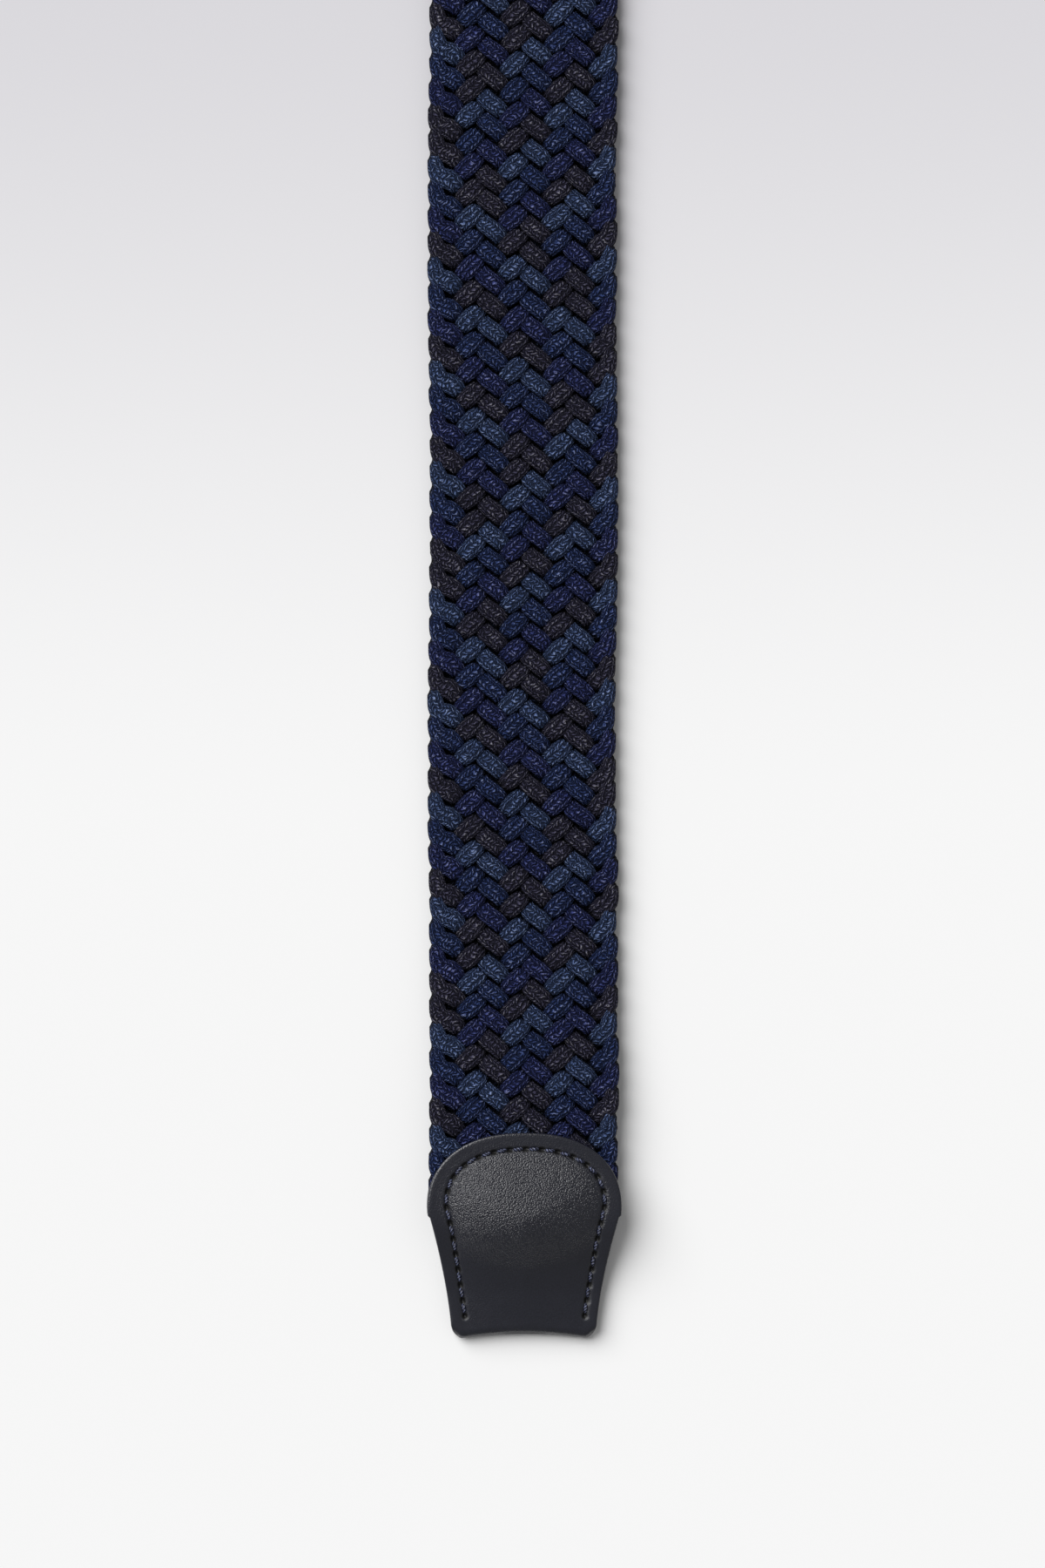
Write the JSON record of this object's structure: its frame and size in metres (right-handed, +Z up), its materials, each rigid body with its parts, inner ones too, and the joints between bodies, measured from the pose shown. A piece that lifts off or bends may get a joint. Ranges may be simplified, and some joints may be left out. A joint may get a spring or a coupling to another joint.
{
  "type": "elastic belt",
  "caption": "Flat braided elastic belt with a folded leather tip at its free end, a folded leather chape and a frame buckle at the other, lying straight.",
  "frame": {"origin": "centre of the whole belt's footprint, on the surface that it lies on", "axes": "+Y along the belt from the leather tip towards the buckle, +Z up from the surface out of the belt's face, +X across the belt"},
  "size_m": [0.0454, 1.0826, 0.0085],
  "materials": {
    "braid_charcoal": "matt covered elastic cord, charcoal",
    "braid_steel": "matt covered elastic cord, steel blue",
    "braid_navy": "matt covered elastic cord, navy",
    "braid_violet": "matt covered elastic cord, violet navy",
    "leather": "soft black leather with a fine grain and a low sheen",
    "thread": "waxed violet navy sewing thread",
    "buckle_metal": "satin nickel"
  },
  "bodies": {
    "root": {"braid": "braid_navy", "tip_leather": "leather", "chape_leather": "leather", "buckle": "buckle_metal"}
  },
  "joints": []
}
